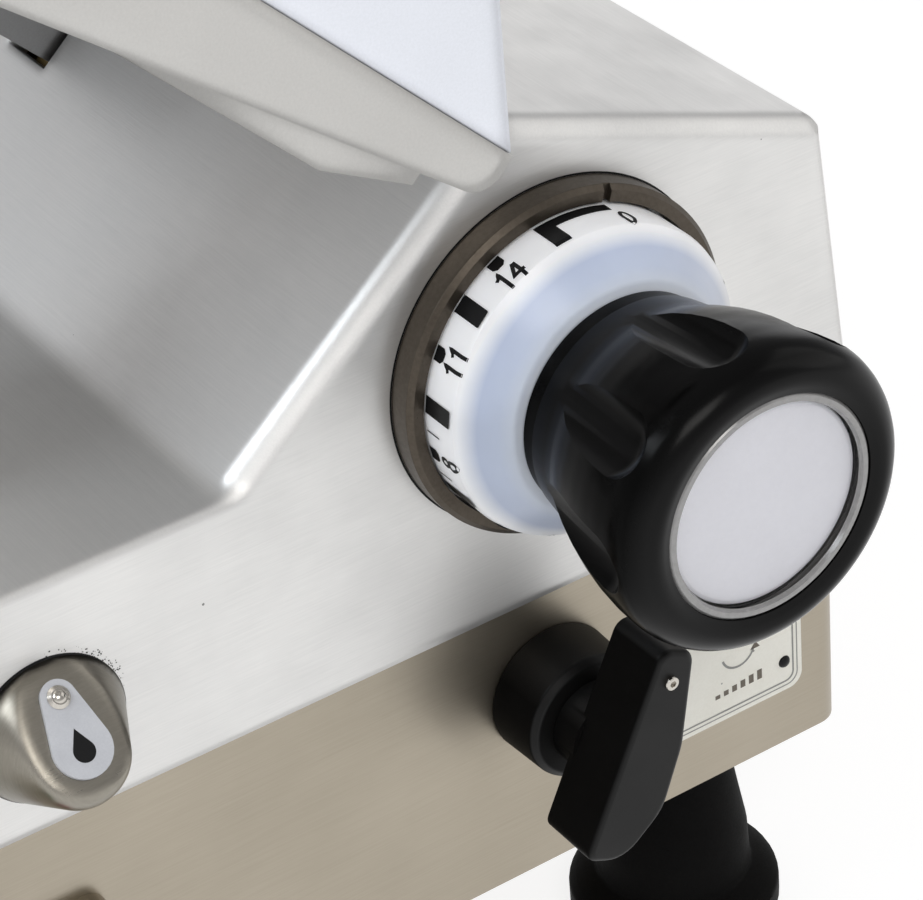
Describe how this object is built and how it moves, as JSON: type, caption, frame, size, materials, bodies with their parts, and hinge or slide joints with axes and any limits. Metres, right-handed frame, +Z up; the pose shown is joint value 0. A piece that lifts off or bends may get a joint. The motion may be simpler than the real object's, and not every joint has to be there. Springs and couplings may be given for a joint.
{
  "type": "electric food slicer",
  "caption": "Gravity-feed electric slicer: tilted round blade, gauge plate set by a fluted dial knob, sliding food carriage, stainless base on high feet.",
  "frame": {"origin": "centre of the machine's outline on the surface that the feet stand on", "axes": "+X to the operator's right, +Y away from the operator along the carriage travel, +Z up"},
  "size_m": [0.4872, 0.597, 0.5904],
  "materials": {
    "satin_aluminium": "satin, finely brushed",
    "stainless": "brushed",
    "polished_steel": "turned and polished",
    "bronze_ring": "dark bronze anodised",
    "brass_bush": "machined",
    "milky_plastic": "milky, translucent",
    "black_plastic": "satin moulded",
    "black_rubber": "matt",
    "pale_disc": "printed disc, bare",
    "clear_lens": "clear, glossy",
    "cream_plate": "satin",
    "dark_steel": "dark",
    "green_plastic": "gloss",
    "red_plastic": "gloss",
    "abrasive": "bonded abrasive grit"
  },
  "bodies": {
    "base": {"body_casting": "satin_aluminium", "base_skirt": "stainless", "bottom_plate": "stainless", "feet": "black_rubber", "foot_bolts": "dark_steel", "cable_gland": "black_plastic", "slide_bar": "polished_steel", "guide_rail": "polished_steel", "oil_cap": "polished_steel", "oil_rivet": "polished_steel", "dial_bezel": "bronze_ring", "shaft_bush": "brass_bush", "gauge_guide": "brass_bush", "lever_base": "black_plastic", "mode_switch": "dark_steel", "legend_plate": "cream_plate", "switch_panel": "black_plastic", "motor_housing": "satin_aluminium", "rear_cover": "black_plastic", "blade_motor": "dark_steel", "blade_belt": "black_rubber", "hub_bearings": "dark_steel", "ring_guard": "satin_aluminium", "blade_cover": "satin_aluminium", "slice_deflector": "satin_aluminium", "sharpener_post": "polished_steel", "drive_motor": "dark_steel", "drive_belt": "black_rubber"},
    "knob": {"knob_shaft": "polished_steel", "scroll_cam": "brass_bush", "dial_ring": "milky_plastic", "thickness_knob": "black_plastic", "knob_disc": "pale_disc", "knob_lens": "clear_lens"},
    "gauge": {"gauge_arm": "satin_aluminium", "gauge_plate": "satin_aluminium"},
    "oil_tag": {"oil_tag": "satin_aluminium"},
    "lever": {"mode_lever": "black_plastic"},
    "start": {"start_button": "green_plastic"},
    "stop": {"stop_button": "red_plastic"},
    "blade": {"blade": "polished_steel", "hub_shaft": "polished_steel", "hub_pulley": "polished_steel"},
    "motor_rotor": {"motor_pulley": "polished_steel"},
    "cover_knob": {"cover_knob": "black_plastic"},
    "sharpener": {"sharpener_body": "black_plastic"},
    "grinding_stone": {"grinding_stone": "abrasive"},
    "truing_stone": {"truing_stone": "abrasive"},
    "carriage": {"carriage_tray": "satin_aluminium", "front_fence": "satin_aluminium", "carriage_column": "satin_aluminium", "slide_block": "satin_aluminium", "slide_bushes": "brass_bush", "carriage_handle": "black_plastic", "pusher_rod": "polished_steel"},
    "roller": {"guide_roller": "black_plastic"},
    "pusher": {"pusher_sleeve": "black_plastic"},
    "pusher_arm": {"pusher_arm": "black_plastic"},
    "drive_pulley": {"drive_pulley": "polished_steel"},
    "idler_pulley": {"idler_pulley": "polished_steel"}
  },
  "joints": [
    {"name": "knob_turn", "type": "hinge", "parent": "base", "child": "knob", "pos_m": [0.03359, -0.2045, 0.21], "axis": [0, -1, 0], "range_deg": [0, 313.5]},
    {"name": "gauge_slide", "type": "slide", "parent": "base", "child": "gauge", "axis": [0.7071, 0, -0.7071], "range_m": [0, 0.014]},
    {"name": "oil_tag_swing", "type": "hinge", "parent": "base", "child": "oil_tag", "pos_m": [-0.09941, -0.21053, 0.18197], "axis": [0, -0.7071, 0.7071], "range_deg": [0, 95]},
    {"name": "mode_lever_turn", "type": "hinge", "parent": "base", "child": "lever", "pos_m": [0.02759, -0.2035, 0.118], "axis": [0, -1, 0], "range_deg": [0, 90]},
    {"name": "start_press", "type": "slide", "parent": "base", "child": "start", "axis": [0, 1, 0], "range_m": [0, 0.004], "stiffness_N_per_m": 400},
    {"name": "stop_press", "type": "slide", "parent": "base", "child": "stop", "axis": [0, 1, 0], "range_m": [0, 0.004], "stiffness_N_per_m": 400},
    {"name": "blade_spin", "type": "hinge", "parent": "base", "child": "blade", "pos_m": [0.0746, 0.0875, 0.4094], "axis": [-0.7071, 0, 0.7071], "continuous": true},
    {"name": "motor_spin", "type": "hinge", "parent": "base", "child": "motor_rotor", "pos_m": [0.02934, 0.2075, 0.29061], "axis": [-0.7071, 0, 0.7071], "continuous": true},
    {"name": "cover_knob_turn", "type": "hinge", "parent": "base", "child": "cover_knob", "pos_m": [0.15041, 0.20771, 0.5036], "axis": [-0.7071, 0, 0.7071], "range_deg": [0, 720]},
    {"name": "sharpener_lift", "type": "slide", "parent": "base", "child": "sharpener", "axis": [0.7071, 0, 0.7071], "range_m": [0, 0.025]},
    {"name": "grinding_stone_spin", "type": "hinge", "parent": "sharpener", "child": "grinding_stone", "pos_m": [0.18632, 0.0695, 0.50133], "axis": [-0.7071, 0, 0.7071], "continuous": true},
    {"name": "truing_stone_spin", "type": "hinge", "parent": "sharpener", "child": "truing_stone", "pos_m": [0.15733, 0.1055, 0.53032], "axis": [-0.7071, 0, 0.7071], "continuous": true},
    {"name": "carriage_slide", "type": "slide", "parent": "base", "child": "carriage", "axis": [0, 1, 0], "range_m": [0, 0.29]},
    {"name": "roller_spin", "type": "hinge", "parent": "carriage", "child": "roller", "pos_m": [-0.14441, -0.1445, 0.17], "axis": [1, 0, 0], "range_deg": [-1400, 0]},
    {"name": "pusher_slide", "type": "slide", "parent": "carriage", "child": "pusher", "axis": [-0.7071, 0, 0.7071], "range_m": [0, 0.15]},
    {"name": "pusher_swing", "type": "hinge", "parent": "pusher", "child": "pusher_arm", "pos_m": [-0.01025, -0.0345, 0.40658], "axis": [-0.7071, 0, 0.7071], "range_deg": [0, 100]},
    {"name": "drive_pulley_spin", "type": "hinge", "parent": "base", "child": "drive_pulley", "pos_m": [-0.05041, 0.2115, 0.11], "axis": [1, 0, 0], "continuous": true},
    {"name": "idler_pulley_spin", "type": "hinge", "parent": "base", "child": "idler_pulley", "pos_m": [-0.05041, -0.1385, 0.11], "axis": [1, 0, 0], "continuous": true}
  ],
  "couplings": [
    {"joint": "gauge_slide", "follows": "knob_turn", "m_per_rad": 0.0025587},
    {"joint": "motor_spin", "follows": "blade_spin", "ratio": 1.7778},
    {"joint": "roller_spin", "follows": "carriage_slide", "rad_per_m": -83.333},
    {"joint": "idler_pulley_spin", "follows": "drive_pulley_spin", "ratio": 1}
  ]
}
